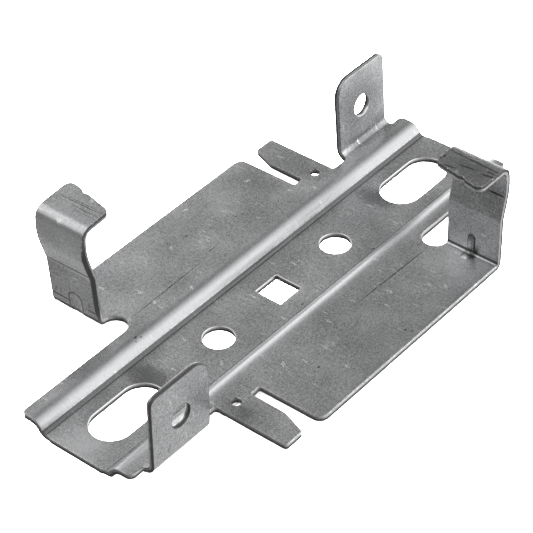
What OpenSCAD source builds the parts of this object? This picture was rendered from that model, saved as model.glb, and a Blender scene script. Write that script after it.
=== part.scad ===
// Stamped snap-on bracket, folded from one sheet.
// A long channel strip carries two wings; each wing ends in a leg with a hook
// that clips over one edge of a rail, and each end of the strip has an upright
// lug with a hole. The part looks the same after half a turn about Z, except
// that one hook has been bent down a little.
// Origin: middle of the underside of the channel web. X runs along the strip.

/* [Sheet] */
// Thickness of the sheet
sheet_t = 1.5; // [1:0.1:2]

/* [Channel strip] */
// Length of the strip
strip_l = 145.4; // [139:0.2:180]
// Width of the strip over its two flanges
strip_w = 34.5; // [34.5:0.5:38]
// Width of the flat web between the feet of the channel walls
web_w = 19; // [16:0.5:19]
// How far the web lies below the flanges
channel_depth = 2.9; // [2:0.1:3.4]
// Radius over the crest of each channel wall, on the upper face
crest_r = 4.5; // [4:0.1:4.6]
// Radius at the foot of each channel wall, on the upper face
foot_r = 1.1; // [0.8:0.1:1.2]
// Radius of the strip's four corners
strip_corner_r = 1.5; // [0.5:0.1:2.5]
// Width of the step that the trimming tool leaves at each end of the flanges
trim_step_w = 8.8; // [6:0.2:9]
// Depth of that step
trim_step = 0.3; // [0.1:0.1:0.6]

/* [Web holes] */
// Side of the square hole for the neck of a carriage bolt
square_w = 8.5; // [6:0.1:10]
// Corner radius of the square hole
square_corner_r = 0.4; // [0.2:0.1:1]
// Diameter of the two round holes
round_d = 9; // [5:0.1:11]
// Distance between the round holes
round_spacing = 45; // [32:0.5:60]
// Width of the two slots
slot_w = 12; // [8:0.1:13]
// Length of the slots from end to end
slot_l = 22.4; // [16:0.1:25]
// Distance from the end of the strip to the slot
slot_margin = 6.4; // [3:0.1:10]

/* [Wings] */
// Width over both wings
wings_w = 78.9; // [74:0.1:90]
// Distance from the middle to the free end of each wing
wing_end_x = 32; // [20:0.1:33]
// Radius of the wing's free corner
wing_corner_r = 2.5; // [0.5:0.1:6]

/* [Fingers] */
// Width of the gap between a wing and its finger
gap_w = 3.1; // [2:0.1:5]
// Distance from the middle line to the closed end of the gap
gap_root_y = 21; // [20:0.1:24]
// Corner radius at the closed end of the gap
gap_corner_r = 0.5; // [0.2:0.1:0.9]
// Width of each finger
finger_w = 8.4; // [6:0.1:9]
// How much shorter the finger is than the wing
finger_setback = 1; // [0:0.1:4]
// Length of the slanted flank at the finger's tip
finger_taper_l = 7; // [3:0.1:12]
// How far that flank leans in
finger_taper_w = 2.4; // [0.5:0.1:4]
// Radius of the finger's tip corners
finger_tip_r = 0.9; // [0.3:0.1:1.5]
// Radius in the corner between the finger and the strip
finger_root_r = 0.8; // [0.3:0.1:1.5]
// Diameter of the locating hole at the root of the finger
pilot_d = 2.9; // [2:0.1:4]
// Distance from the middle line to the locating hole
pilot_y = 20.1; // [19.6:0.1:24]

/* [Lugs] */
// Width of each lug along the strip
lug_w = 19.1; // [16:0.1:19.6]
// Distance from the end of the strip to the lug
lug_margin = 4.5; // [2.5:0.1:7]
// Height of the lug above the flange
lug_h = 22; // [18:0.1:40]
// Lean of the lug away from upright
lug_lean = 2; // [0:0.5:6]
// Inner radius of the bend under the lug
lug_bend_r = 1.7; // [1:0.1:2.5]
// Distance from the edge of the strip to the start of that bend
lug_root = 0.2; // [0.1:0.1:0.6]
// Radius of the lug's corner that looks to the middle
lug_big_r = 5; // [1:0.1:7]
// Radius of the lug's other corner
lug_small_r = 2; // [0.5:0.1:4]
// Diameter of the hole in the lug
lug_hole_d = 7.1; // [4:0.1:9]
// Height of the hole above the flange
lug_hole_h = 10.7; // [9:0.1:12]

/* [Legs] */
// Distance from the middle to the outer face of a leg at wing level
leg_face_x = 38.7; // [38.2:0.1:42]
// Width of each leg
leg_w = 15.5; // [14:0.1:15.6]
// Inner radius of the bend under the leg
leg_bend_r = 0.6; // [0.5:0.1:1.5]
// Lean of the lower part of the leg away from upright
leg_lean = 2.3; // [0:0.1:5]
// Lean of the leg above its crease, away from upright
leg_flare = 15; // [10:0.5:18]
// Lean of the leg under its hook; below 0 it leans inward
leg_top_lean = -3; // [-4:0.5:5]
// Height of the crease above the wing
crease_h = 13.5; // [10:0.5:17]
// Radius inside the crease
crease_r = 1; // [0.5:0.1:3]
// Where the leg bows back, from 0 at the crease to 1 at the hook
bow_place = 0.58; // [0.5:0.01:0.6]
// Radius inside the bow
bow_r = 16; // [8:1:18]
// Height of the hook above the wing, at its bend
hook_h = 29.8; // [27:0.1:45]
// Inner radius of the hook's bend
hook_bend_r = 1.8; // [1:0.1:3]
// Rise of the hook towards its tip, in degrees
hook_rise = 4; // [3.5:0.5:8]
// How much less the second hook rises, as it has been bent in use
hook_sag = 3.5; // [0:0.5:3.5]
// How much lower the second hook sits
hook_drop = 0.9; // [0:0.1:1]
// Distance from the leg's outer face at wing level to the middle of the hook's tip
hook_reach = 8.7; // [7:0.1:14]
// Slant of the hook's tip, in degrees
hook_slant = 11; // [0:0.5:15]
// Corner radius of the hook's tip
hook_corner_r = 2; // [0.5:0.1:4]
// Width of the nick in the hook's tip
nick_w = 1.2; // [0.6:0.1:2]
// Depth of the nick
nick_depth = 0.5; // [0.2:0.1:1]
// How far the nick lies outward from the leg's middle line
nick_offset = 1.7; // [0:0.1:4]

/* [Leg relief and rib] */
// How far the middle of the relief's round end lies inside the leg's outer face
relief_inset = 1.8; // [1:0.1:2.2]
// Length of the stiffening rib along the wing, from the leg's inner face
rib_l = 2.9; // [2.6:0.1:4.4]
// Height of the rib on the leg
rib_h = 5.4; // [3:0.1:6]
// Radius of the rib
rib_r = 1.1; // [1:0.1:1.6]
// How far the rib lies from the leg's middle line towards the strip
rib_offset = 0.5; // [0:0.1:2]
// Radius of the groove that the punch left outside, under the rib
groove_r = 0.5; // [0.4:0.1:0.6]
// Metal left between the rib and that groove
rib_t = 1.2; // [1:0.1:1.4]
// Width of the shallow dish around the groove
dish_w = 5; // [3:0.1:7]
// Depth of the dish
dish_depth = 0.5; // [0.3:0.1:0.6]
// Height up to which the dish reaches on the leg
dish_h = 6.5; // [5:0.1:8]

/* [Hidden] */
$fn = 96;
past = 1;
bite = 0.001;
wall_flat = 0.2;
deck_z = sheet_t + channel_depth;
half_l = strip_l / 2;
half_w = strip_w / 2;
slot_x = half_l - slot_margin - slot_l / 2;
bends_r = crest_r + foot_r;
wall_angle = acos((bends_r - channel_depth) / norm([bends_r, wall_flat])) - atan2(wall_flat, bends_r);
foot_y = web_w / 2 + foot_r * tan(wall_angle / 2);
crest_y = foot_y + channel_depth / tan(wall_angle);
wing_y = wings_w / 2;
gap_end_x = wing_end_x + gap_w;
finger_end_x = gap_end_x + finger_w;
finger_y = wing_y - finger_setback;
lug_x = half_l - lug_margin - lug_w / 2;
lug_face_y = half_w + lug_root + lug_bend_r * tan(45 - lug_lean / 2);
lug_blade = lug_h / cos(lug_lean);
leg_inner_x = leg_face_x - sheet_t / cos(leg_lean);
leg_bend_x = leg_inner_x - leg_bend_r * tan(45 - leg_lean / 2);
leg_y = wing_y - leg_w;
relief_r = (leg_y - half_w) / 2;
relief_x = leg_face_x - relief_inset;
crease_x = leg_inner_x + crease_h * tan(leg_lean);
hook_tip_x = leg_face_x - hook_reach;
hook_lead = tan(hook_slant) * leg_w / 2;
rib_y = wing_y - leg_w / 2 - rib_offset;
rib_angle = atan2(rib_h, rib_l);
dish_r = (dish_w * dish_w / 4 + dish_depth * dish_depth) / (2 * dish_depth);

function unit(v) = v / norm(v);

// Point on the lower face of the sheet under point i of a path that runs
// along its upper face
function under_point(path, i) =
    let (
        a = unit(i == 0 ? path[1] - path[0] : path[i] - path[i - 1]),
        b = unit(i == len(path) - 1 ? path[i] - path[i - 1] : path[i + 1] - path[i]),
        n = [a.y, -a.x],
        m = [b.y, -b.x]
    )
    path[i] + sheet_t * (n + m) / (1 + n * m);

// The curved triangle between a corner at p and an arc of radius r that
// touches the edges from p to a and from p to b. The arc is larger by bite, so
// that it meets each edge at a clear point.
module corner_bit(p, a, b, r) {
    u = unit(a - p);
    v = unit(b - p);
    half = acos(u * v) / 2;
    difference() {
        polygon([p - (u + v) * r / 4, p + u * r / tan(half), p + unit(u + v) * r / sin(half), p + v * r / tan(half)]);
        translate(p + unit(u + v) * r / sin(half)) circle(r + bite);
    }
}

// Section of the folded sheet. The path is its upper face with sharp corners,
// seen from the side that has this face on the left; radii are those inside
// the bends.
module sheet_section(path, radii) {
    last = len(path) - 1;
    under = [for (i = [0:last]) under_point(path, i)];
    difference() {
        union() {
            polygon(concat(path, [for (i = [last:-1:0]) under[i]]));
            for (i = [1:last - 1]) {
                inner = cross(path[i] - path[i - 1], path[i + 1] - path[i]) > 0 ? path : under;
                corner_bit(inner[i], inner[i - 1], inner[i + 1], radii[i - 1]);
            }
        }
        for (i = [1:last - 1]) {
            outer = cross(path[i] - path[i - 1], path[i + 1] - path[i]) > 0 ? under : path;
            corner_bit(outer[i], outer[i - 1], outer[i + 1], radii[i - 1] + sheet_t);
        }
    }
}

// Strip with its sunk channel: flange, wall, web, wall, flange
module strip() {
    translate([-half_l, 0, 0]) rotate([90, 0, 90]) linear_extrude(strip_l)
        sheet_section(
            [
                [-half_w, deck_z],
                [-crest_y, deck_z],
                [-foot_y, sheet_t],
                [foot_y, sheet_t],
                [crest_y, deck_z],
                [half_w, deck_z]
            ],
            [crest_r - sheet_t, foot_r, foot_r, crest_r - sheet_t]
        );
}

// What the trimming tool takes off the ends of the flanges: a small step and
// the round corners
module strip_trim() {
    for (end = [-1, 1], side = [-1, 1]) {
        corner = [end * (half_l - trim_step), side * half_w];
        translate([end * half_l, side * (half_w + past - trim_step_w / 2)])
            square([2 * trim_step, trim_step_w + 2 * past], center = true);
        corner_bit(corner, corner - [end, 0], corner - [0, side], strip_corner_r);
    }
}

// Outline of the wing and the finger beside it, from inside the flange
module wing_outline() {
    inner_y = half_w - sheet_t;
    wing_corner = [wing_end_x, wing_y];
    gap_a = [wing_end_x, gap_root_y];
    gap_b = [gap_end_x, gap_root_y];
    taper = [gap_end_x, finger_y - finger_taper_l];
    tip_in = [gap_end_x + finger_taper_w, finger_y];
    tip_out = [finger_end_x, finger_y];
    root = [finger_end_x, half_w];
    difference() {
        union() {
            polygon([
                [-leg_bend_x, inner_y],
                [finger_end_x, inner_y],
                tip_out,
                tip_in,
                taper,
                gap_b,
                gap_a,
                wing_corner,
                [-leg_bend_x, wing_y]
            ]);
            translate([-relief_x, inner_y]) square([relief_x - leg_bend_x + past, sheet_t + relief_r]);
            corner_bit(gap_a, wing_corner, gap_b, gap_corner_r);
            corner_bit(gap_b, gap_a, taper, gap_corner_r);
            corner_bit(root, root + [past, 0], tip_out, finger_root_r);
        }
        corner_bit(wing_corner, gap_a, [0, wing_y], wing_corner_r);
        corner_bit(tip_in, taper, tip_out, finger_tip_r);
        corner_bit(tip_out, tip_in, root, finger_tip_r);
    }
}

// Round-ended relief between a leg and the strip, open to the outside
module relief() {
    translate([0, 0, deck_z - sheet_t - past]) linear_extrude(sheet_t + 2 * past) {
        translate([-relief_x, half_w + relief_r]) circle(relief_r);
        translate([-relief_x - 2 * relief_r, half_w]) square([2 * relief_r, 2 * relief_r]);
    }
}

// What is cut from the blade of a lug, seen square on from flange level up:
// its two upper corners and its hole
module lug_trim() {
    mid_corner = [-lug_w / 2, lug_blade];
    end_corner = [lug_w / 2, lug_blade];
    corner_bit(mid_corner, [-lug_w / 2, 0], end_corner, lug_big_r);
    corner_bit(end_corner, mid_corner, [lug_w / 2, 0], lug_small_r);
    translate([0, lug_hole_h / cos(lug_lean)]) circle(d = lug_hole_d);
}

// Lug: a bend beside the flange and an upright blade with a hole
module lug() {
    difference() {
        translate([lug_x - lug_w / 2, 0, deck_z]) rotate([90, 0, 90]) linear_extrude(lug_w)
            sheet_section(
                [
                    [half_w - sheet_t, 0],
                    [lug_face_y, 0],
                    [lug_face_y + lug_h * tan(lug_lean), lug_h]
                ],
                [lug_bend_r]
            );
        translate([lug_x, lug_face_y, deck_z]) rotate([-lug_lean, 0, 0])
            translate([0, sheet_t + past, 0]) rotate([90, 0, 0]) linear_extrude(sheet_t + 2 * past)
                lug_trim();
    }
    for (side = [-1, 1]) {
        root = [lug_x + side * lug_w / 2, half_w];
        translate([0, 0, deck_z - sheet_t]) linear_extrude(sheet_t)
            corner_bit(root, root + [side, 0], root + [0, 1], lug_root);
    }
}

// What is cut away beyond the hook's tip, seen from above
module hook_trim() {
    tip_a = [-hook_lead - hook_tip_x, leg_y];
    tip_b = [hook_lead - hook_tip_x, wing_y];
    along = unit(tip_b - tip_a);
    far = hook_reach * [along.y, -along.x];
    polygon([tip_a - along, tip_a - along + far, tip_b + along + far, tip_b + along]);
    corner_bit(tip_a, tip_a - [1, 0], tip_b, hook_corner_r);
    corner_bit(tip_b, tip_a, tip_b - [1, 0], hook_corner_r);
    translate([-hook_tip_x, (leg_y + wing_y) / 2]) rotate(-hook_slant)
        translate([-nick_depth, nick_offset - nick_w / 2]) square([nick_depth + past, nick_w]);
}

// Leg: bend, lower part, crease, flared part, bow, upper part and hook, whose
// top lies at the given height above the wing and rises to its tip
module leg(height, rise) {
    half = (90 + leg_top_lean - rise) / 2;
    bend_z = height - (hook_bend_r + sheet_t) * cos(rise);
    hook_z = bend_z + hook_bend_r * cos(half + rise) / cos(half);
    bow_z = crease_h + bow_place * (hook_z - crease_h);
    bow_x = crease_x + (bow_z - crease_h) * tan(leg_flare);
    hook_x = bow_x + (hook_z - bow_z) * tan(leg_top_lean);
    hook_end_x = hook_tip_x - hook_lead - past;
    difference() {
        translate([0, leg_y, deck_z]) rotate([90, 0, 180]) linear_extrude(leg_w)
            sheet_section(
                [
                    [leg_bend_x - sheet_t, 0],
                    [leg_inner_x, 0],
                    [crease_x, crease_h],
                    [bow_x, bow_z],
                    [hook_x, hook_z],
                    [hook_end_x, hook_z + (hook_x - hook_end_x) * tan(rise)]
                ],
                [leg_bend_r, crease_r, bow_r, hook_bend_r]
            );
        translate([0, 0, deck_z + crease_h + past]) linear_extrude(2 * hook_h) hook_trim();
    }
}

// A bar with a round back across the bend of a leg. Its back follows the line
// that starts at distance foot from the middle at wing level and rises outward
// at the given angle, or runs below that line by inset.
module slanted_bar(r, foot, angle, inset) {
    length = 3 * norm([rib_l, rib_h]);
    translate([-foot, rib_y, deck_z]) rotate([0, angle, 0]) translate([length / 3, 0, -inset - r])
        rotate([0, -90, 0]) linear_extrude(length) {
            circle(r);
            translate([-r - sheet_t, -r]) square([r + sheet_t, 2 * r]);
        }
}

// Rib pressed into the bend of the leg
module rib() {
    inner = sheet_t / 2;
    intersection() {
        slanted_bar(rib_r, leg_inner_x - rib_l, rib_angle, 0);
        translate([-leg_inner_x - inner, rib_y - 2 * rib_r, deck_z - inner])
            cube([rib_l + sheet_t, 4 * rib_r, rib_h + sheet_t]);
    }
}

// What the punch left on the outside: a groove under the rib in a shallow dish
module punch_mark() {
    slanted_bar(groove_r, leg_inner_x - rib_l, rib_angle, rib_t);
    slanted_bar(dish_r, leg_face_x - dish_depth, atan2(dish_h, dish_depth + dish_h * tan(leg_lean)), 0);
}

// Wing, finger, leg and lug that belong to one side of the strip
module side(height, rise) {
    difference() {
        union() {
            translate([0, 0, deck_z - sheet_t]) linear_extrude(sheet_t) wing_outline();
            leg(height, rise);
            rib();
        }
        relief();
        punch_mark();
        translate([gap_end_x + finger_w / 2, pilot_y, 0]) cylinder(d = pilot_d, h = 2 * deck_z);
    }
    lug();
}

// Outline of everything that is punched through the strip
module strip_holes() {
    straight = slot_l - slot_w;
    difference() {
        square(square_w, center = true);
        for (x = [-1, 1], y = [-1, 1]) {
            corner = [x, y] * square_w / 2;
            corner_bit(corner, corner - [x, 0], corner - [0, y], square_corner_r);
        }
    }
    for (side = [-1, 1]) {
        translate([side * round_spacing / 2, 0]) circle(d = round_d);
        translate([side * slot_x, 0]) {
            square([straight, slot_w], center = true);
            for (end = [-1, 1]) translate([end * straight / 2, 0]) circle(d = slot_w);
        }
    }
}

module bracket() {
    color([0.56, 0.57, 0.58]) difference() {
        union() {
            strip();
            side(hook_h, hook_rise);
            rotate(180) side(hook_h - hook_drop, hook_rise - hook_sag);
        }
        translate([0, 0, -past]) linear_extrude(deck_z + 2 * past) {
            strip_holes();
            strip_trim();
        }
    }
}

bracket();
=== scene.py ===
# %% [markdown]
# # A stamped clip bracket of zinc plated sheet steel
# The real part is one piece of 1.5 mm sheet steel. A press punches its outline
# and its holes, and then folds it: a sunk channel along the middle, two legs
# with hooks, and two lugs. This script dresses the CAD model of that part for a
# picture. It begins with the frame, which is the CAD model as packed.

# %% The frame
import math

import bpy
import numpy as np
from mathutils import Matrix, Vector
from mathutils.geometry import delaunay_2d_cdt


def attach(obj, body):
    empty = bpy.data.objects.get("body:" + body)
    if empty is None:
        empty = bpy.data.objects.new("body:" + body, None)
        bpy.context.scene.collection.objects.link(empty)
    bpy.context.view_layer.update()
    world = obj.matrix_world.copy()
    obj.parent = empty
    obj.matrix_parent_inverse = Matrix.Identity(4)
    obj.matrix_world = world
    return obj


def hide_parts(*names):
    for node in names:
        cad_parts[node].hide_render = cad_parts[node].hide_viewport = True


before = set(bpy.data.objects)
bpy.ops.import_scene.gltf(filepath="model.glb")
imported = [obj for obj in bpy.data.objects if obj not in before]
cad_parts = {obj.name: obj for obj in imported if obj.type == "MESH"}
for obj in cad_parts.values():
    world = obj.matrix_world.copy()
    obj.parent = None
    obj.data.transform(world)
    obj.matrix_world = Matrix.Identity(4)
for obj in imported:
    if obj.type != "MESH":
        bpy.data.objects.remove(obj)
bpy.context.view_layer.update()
MM = 0.001

# %% [markdown]
# ## The camera
# The photograph is a product shot through a long lens, from the left front and
# well above. A camera is easiest to place as a turn around the object: an
# azimuth, an elevation, a small roll, a distance and the point that it looks at.
# These values come from laying the model's edges over the photograph.

# %% Camera
AZIMUTH, ELEVATION, ROLL = (math.radians(a) for a in (-48.4262, 39.8747, -2.6637))
LOOK_AT = Vector((-11.9095, -7.0263, 20.2977)) * MM
DISTANCE = 534.13 * MM
FOCAL_PIXELS, FRAME_PIXELS, SENSOR_MM = 2258.488, 533, 36

back = Vector((
    math.sin(AZIMUTH) * math.cos(ELEVATION),
    -math.cos(AZIMUTH) * math.cos(ELEVATION),
    math.sin(ELEVATION),
))
level = Vector((math.cos(AZIMUTH), math.sin(AZIMUTH), 0))
right = math.cos(ROLL) * level + math.sin(ROLL) * back.cross(level)
camera = bpy.data.objects.new("camera", bpy.data.cameras.new("camera"))
bpy.context.scene.collection.objects.link(camera)
camera.data.sensor_width = SENSOR_MM
camera.data.lens = FOCAL_PIXELS / FRAME_PIXELS * SENSOR_MM
camera.matrix_world = Matrix.Translation(LOOK_AT + DISTANCE * back) @ Matrix(
    (right, back.cross(right), back)
).transposed().to_4x4()
bpy.context.scene.camera = camera
print("Lens of", round(camera.data.lens, 1), "mm at", tuple(round(c, 3) for c in camera.location))

# %% [markdown]
# ## How a folded sheet is described
# A CAD model has edges as sharp as a knife, but a punched sheet never does. The
# punch drags the metal down around its outline, so the upper face rolls over
# into the cut, and on the lower face the cut ends in a small burr. A bevel on
# the CAD mesh could round the edges, but not show on which side each face was
# struck. So the part is made here the way the press makes it: a flat blank is
# cut out, and then each of its points is folded to its place.
#
# A fold needs a section line: straight runs that are joined by arcs. The line
# is a table of points against the distance run along it. Any distance can be
# looked up in it, for a whole array of points at once.

# %% Section lines
def section_line(corners, radii, step=math.radians(2)):
    """Table of a line with rounded corners, with the columns run, across, up
    and angle. An arc of radius r that turns by t takes r * tan(t / 2) from both
    runs that meet in the corner, and its points lie at
    start + r * (sin(a) along - (1 - cos(a)) outward) for a from 0 to t."""
    corners = np.array(corners, float)
    sides = np.diff(corners, axis=0)
    angles = np.unwrap(np.arctan2(sides[:, 1], sides[:, 0]))
    turns = np.diff(angles)
    cuts = np.concatenate([[0], radii * np.tan(np.abs(turns) / 2), [0]])
    table = []
    run = 0.0
    for i, angle in enumerate(angles):
        along = np.array([math.cos(angle), math.sin(angle)])
        start = corners[i] + cuts[i] * along
        stop = corners[i + 1] - cuts[i + 1] * along
        length = (stop - start) @ along
        table += [[run, *start, angle], [run + length, *stop, angle]]
        run += length
        if i < len(turns):
            turn, way, r = abs(turns[i]), math.copysign(1, turns[i]), radii[i]
            a = np.linspace(0, turn, max(int(turn / step), 2) + 1)[1:-1]
            side = way * np.array([-along[1], along[0]])
            arc = stop + r * (np.sin(a)[:, None] * along + (1 - np.cos(a))[:, None] * side)
            table += np.column_stack([run + r * a, arc, angle + way * a]).tolist()
            run += r * turn
    return np.array(table)


def look_up(line, run, depth):
    """Points at the given runs along a section line and depths below it: the
    point on the line, less depth times the line's left normal."""
    across, up, angle = (np.interp(run, line[:, 0], line[:, k]) for k in (1, 2, 3))
    return across + depth * np.sin(angle), up - depth * np.cos(angle)


def bend_stations(line, turn=math.radians(9)):
    """Runs at which a mesh needs a row of points: a row each time the line has
    turned by so much more."""
    total = np.concatenate([[0], np.cumsum(np.abs(np.diff(line[:, 3])))])
    inside = np.flatnonzero(np.diff(total) > 1e-6)
    groups = np.split(inside, np.flatnonzero(np.diff(inside) > 1) + 1)
    rows = []
    for group in groups:
        a, b = total[group[0]], total[group[-1] + 1]
        steps = np.linspace(a, b, max(int((b - a) / turn), 2) + 1)
        bend = slice(group[0], group[-1] + 2)
        rows.append(np.interp(steps, total[bend], line[bend, 0]))
    return np.concatenate(rows)


square_bend = section_line([(0, 0), (5, 0), (5, 5)], [1])
print("A square bend of radius 1 in a line of 10 mm runs", square_bend[-1, 0].round(2), "mm")

# %% [markdown]
# ## The folds of this bracket
# The sizes are those of the CAD model, in millimetres. Three lines describe all
# of its folds: one across the strip with its sunk channel, one up a lug, and
# one up a leg, over its crease and bow and into its hook. The bracket looks the
# same after half a turn, so one side is described and the other one turned, but
# the second hook was bent down a little in use, so it gets a line of its own. A
# leg's line starts a little before its bend and runs on past the hook's tip,
# where the outline of the blank cuts it off. TORN is the depth in the sheet
# below which the cut is torn.

# %% Sizes and folds
SHEET, CHANNEL, TORN = 1.5, 2.9, 0.72
DECK = SHEET + CHANNEL
HALF_L, HALF_W, WING_Y = 72.7, 17.25, 39.45
CREST_R, FOOT_R, WEB_Y = 4.5, 1.1, 9.5
WALL = math.radians(59.148)
FOOT_Y = WEB_Y + FOOT_R * math.tan(WALL / 2)
CREST_Y = FOOT_Y + CHANNEL / math.tan(WALL)
LUG_X, LUG_W, LUG_H, LUG_LEAN, LUG_R, LUG_ROOT = 58.65, 19.1, 22.0, math.radians(2), 1.7, 0.2
LUG_FACE = HALF_W + LUG_ROOT + LUG_R * math.tan(math.pi / 4 - LUG_LEAN / 2)
LEG_Y, LEG_FACE, LEG_LEAN = 23.95, 38.7, math.radians(2.3)
LEG_FLARE, LEG_TOP, BOW_PLACE, BOW_R = math.radians(15), math.radians(-3), 0.58, 16
LEG_IN = LEG_FACE - SHEET / math.cos(LEG_LEAN)
LEG_START = LEG_IN - 3
LEG_R, CREASE_R, HOOK_R, CREASE_H = 0.6, 1.0, 1.8, 13.5
CREASE_X = LEG_IN + CREASE_H * math.tan(LEG_LEAN)
HOOK_TIP, HOOK_RUN, HOOK_SLANT = 30.0, 14, math.radians(11)
HOOKS = ((29.8, math.radians(4)), (28.9, math.radians(0.5)))
DECK_RUN = 60

channel = section_line(
    [(0, SHEET), (FOOT_Y, SHEET), (CREST_Y, DECK), (DECK_RUN, DECK)], [FOOT_R, CREST_R]
)
UNROLL = channel[-1, 0] - DECK_RUN
lug_line = section_line(
    [(HALF_W, DECK), (LUG_FACE, DECK), (LUG_FACE + LUG_H * math.tan(LUG_LEAN), DECK + LUG_H)], [LUG_R]
)


def leg_line(height, rise):
    """Section line of a leg along its inner face, outward from the bend's start:
    bend, lower run, crease, flared run, bow, upper run and hook. The hook's
    inner corner lies below its bend's highest point by (r + t) cos(rise) and
    above the arc's centre by r cos(half + rise) / cos(half)."""
    half = (math.pi / 2 + LEG_TOP - rise) / 2
    up = height - (HOOK_R + SHEET) * math.cos(rise) + HOOK_R * math.cos(half + rise) / math.cos(half)
    bow_up = CREASE_H + BOW_PLACE * (up - CREASE_H)
    bow = CREASE_X + (bow_up - CREASE_H) * math.tan(LEG_FLARE)
    out = bow + (up - bow_up) * math.tan(LEG_TOP)
    return section_line(
        [
            (LEG_START, DECK),
            (LEG_IN, DECK),
            (CREASE_X, DECK + CREASE_H),
            (bow, DECK + bow_up),
            (out, DECK + up),
            (out - HOOK_RUN, DECK + up + HOOK_RUN * math.tan(rise)),
        ],
        [LEG_R, CREASE_R + SHEET, BOW_R, HOOK_R],
    )


legs = [leg_line(*hook) for hook in HOOKS]
print("Unrolling the channel adds", round(UNROLL, 2), "mm to each side")

# %% [markdown]
# ## The blank
# The outline of the flat blank is a row of corners, each with its radius, and
# the same goes for the holes. One side of it is written down, and half a turn
# gives the other. Distances across the strip are longer on the flat blank than
# on the folded part, by what the channel takes up.

# %% Rounded corners
def rounded(corners, step=math.radians(12)):
    """Closed outline through corners (x, y, r), turned into points: each corner
    becomes an arc of radius r that touches both of its edges."""
    corners = np.array(corners, float)
    p, r = corners[:, :2], corners[:, 2]
    before, after = np.roll(p, 1, 0) - p, np.roll(p, -1, 0) - p
    u = before / np.linalg.norm(before, axis=1)[:, None]
    v = after / np.linalg.norm(after, axis=1)[:, None]
    half = np.arccos(np.clip((u * v).sum(1), -1, 1)) / 2
    points = []
    for i in range(len(p)):
        if r[i] == 0:
            points.append(p[i:i + 1])
            continue
        centre = p[i] + (u[i] + v[i]) / np.linalg.norm(u[i] + v[i]) * r[i] / math.sin(half[i])
        a = p[i] + u[i] * r[i] / math.tan(half[i]) - centre
        b = p[i] + v[i] * r[i] / math.tan(half[i]) - centre
        turn = math.pi - 2 * half[i]
        k = np.linspace(0, 1, max(int(turn / step), 2) + 1)[:, None]
        points.append(centre + (a * np.sin((1 - k) * turn) + b * np.sin(k * turn)) / math.sin(turn))
    return np.concatenate(points)


def arc_corners(x, y, r, start, stop, n=28):
    """Corners without a radius on an arc, from one angle to another in degrees."""
    a = np.radians(np.linspace(start, stop, n))
    return [(x + r * c, y + r * s, 0) for c, s in zip(np.cos(a), np.sin(a))]


def turned(corners):
    """The same corners after half a turn about the middle."""
    return [(-x, -y, r) for x, y, r in corners]


three_corners = rounded([(0, 0, 1), (9, 0, 1), (9, 9, 1)])
print("A triangle with round corners has", len(three_corners), "points")

# %% Outlines
GAP_X, FINGER_X, TAPER_X, FINGER_END_X = 32, 35.1, 37.5, 43.5
GAP_Y, FINGER_Y, TAPER_L = 21, 38.45, 7
LEG_FOOT_Y, RELIEF_X, RELIEF_R = 20.6, 36.9, 3.35
NICK_FROM_MID, NICK_RIM, NICK_FLOOR, NICK_DEEP = 1.7, 0.75, 0.45, 0.5
SQUARE, SQUARE_R, ROUND_X, ROUND_R = 4.25, 0.4, 22.5, 4.5
SLOT_X, SLOT_REACH, SLOT_R = 55.1, 5.2, 6
PILOT_X, PILOT_Y, PILOT_R, BORE_DOWN, BORE_R = 39.3, 20.1, 1.45, 11.3, 3.55
STRIP_EDGE, LEG_FOOT, CREST_END = (y + UNROLL for y in (HALF_W, LEG_FOOT_Y, 18))
LUG_TOP = STRIP_EDGE + lug_line[-1, 0]


def side_corners(leg, rise):
    """Corners of one side of the blank, from the strip's end at +X to its end at
    -X. The tip of the hook slants, and has a small nick from its punch."""
    wing, gap, tip = WING_Y + UNROLL, GAP_Y + UNROLL, FINGER_Y + UNROLL
    lug_a, lug_b = LUG_X - LUG_W / 2, LUG_X + LUG_W / 2
    bend_end = leg[-1, 0] - HOOK_RUN / math.cos(rise)
    out = leg[-1, 1] + HOOK_RUN
    reach = LEG_START + bend_end + (out - HOOK_TIP) / math.cos(rise)
    slope, mid = math.tan(HOOK_SLANT), (LEG_Y + WING_Y) / 2

    def on_tip(y, r, depth=0):
        """Corner on the slanting tip at y, or in the nick at a depth."""
        return (-(reach - (mid - y) * slope - depth), y + UNROLL, r)

    nick = mid + NICK_FROM_MID
    step = [(HALF_L, 7.8, 1.5), (HALF_L - 0.3, 8.8, 1.5), (HALF_L - 0.3, STRIP_EDGE, 1.5)]
    return [
        *step,
        (lug_b, STRIP_EDGE, 0.2), (lug_b, LUG_TOP, 2), (lug_a, LUG_TOP, 5), (lug_a, STRIP_EDGE, 0.2),
        (FINGER_END_X, STRIP_EDGE, 0.8), (FINGER_END_X, tip, 0.9),
        (TAPER_X, tip, 0.9), (FINGER_X, tip - TAPER_L, 1.5), (FINGER_X, gap, 0.5),
        (GAP_X, gap, 0.5), (GAP_X, wing, 2.5),
        on_tip(WING_Y, 2),
        on_tip(nick + NICK_RIM, 0.7), on_tip(nick + NICK_FLOOR, 0.2, NICK_DEEP),
        on_tip(nick - NICK_FLOOR, 0.2, NICK_DEEP), on_tip(nick - NICK_RIM, 0.7),
        on_tip(LEG_Y, 2),
        *arc_corners(-RELIEF_X, LEG_FOOT, RELIEF_R, 90, -90),
        *((-x, y, r) for x, y, r in reversed(step)),
    ]


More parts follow.
